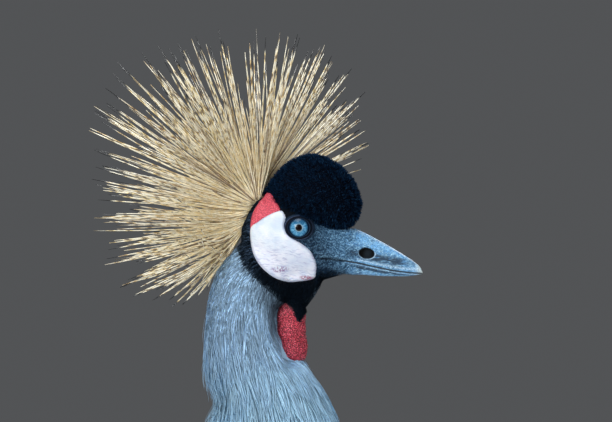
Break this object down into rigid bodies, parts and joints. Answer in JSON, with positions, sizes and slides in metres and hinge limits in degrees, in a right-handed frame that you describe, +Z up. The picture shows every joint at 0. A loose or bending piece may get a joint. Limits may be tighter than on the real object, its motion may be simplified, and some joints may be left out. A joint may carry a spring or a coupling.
{
  "type": "grey crowned crane",
  "caption": "Life-size grey crowned crane standing still, with bristle crest, black velvet cap, white cheeks, red wattle and folded wings.",
  "frame": {"origin": "on the floor under the bird, at the middle of its whole outline from bill tip to tail tip", "axes": "+X ahead, the way the bill points; +Y to the bird's left; +Z up"},
  "size_m": [0.5954, 0.2498, 1.1098],
  "materials": {
    "face_feathers": "short dark slate feathers, matt",
    "bill_horn": "slate blue horn, satin, paler along its ridge and tip",
    "cap_velvet": "black velvet of short upright feathers",
    "cheek_white": "bare white skin with fine folds",
    "red_skin": "bare red skin, finely pebbled",
    "eye": "pale blue iris and black pupil under a wet, glossy surface",
    "crest_straw": "stiff straw-coloured bristles, satin",
    "neck_plumes": "soft blue-grey plumes, matt",
    "body_plumes": "slate grey plumes, matt",
    "wing_feathers": "white coverts, straw plumes, chestnut inner and black outer flight feathers",
    "tail_feathers": "black flight feathers, satin",
    "leg_scales": "blackish scaled skin, satin"
  },
  "bodies": {
    "root": {"head": "face_feathers", "bill_upper": "bill_horn", "bill_lower": "bill_horn", "cap": "cap_velvet", "cheek_white_left": "cheek_white", "cheek_white_right": "cheek_white", "cheek_red_left": "red_skin", "cheek_red_right": "red_skin", "eye_left": "eye", "eye_right": "eye", "wattle": "red_skin", "crest": "crest_straw", "neck_upper": "neck_plumes", "neck_middle": "neck_plumes", "neck_lower": "neck_plumes", "torso": "body_plumes", "tail": "tail_feathers", "wing_left": "wing_feathers", "wing_right": "wing_feathers", "thigh_left": "body_plumes", "thigh_right": "body_plumes", "shin_left": "leg_scales", "shin_right": "leg_scales", "tarsus_left": "leg_scales", "tarsus_right": "leg_scales", "foot_left": "leg_scales", "foot_right": "leg_scales"}
  },
  "joints": []
}
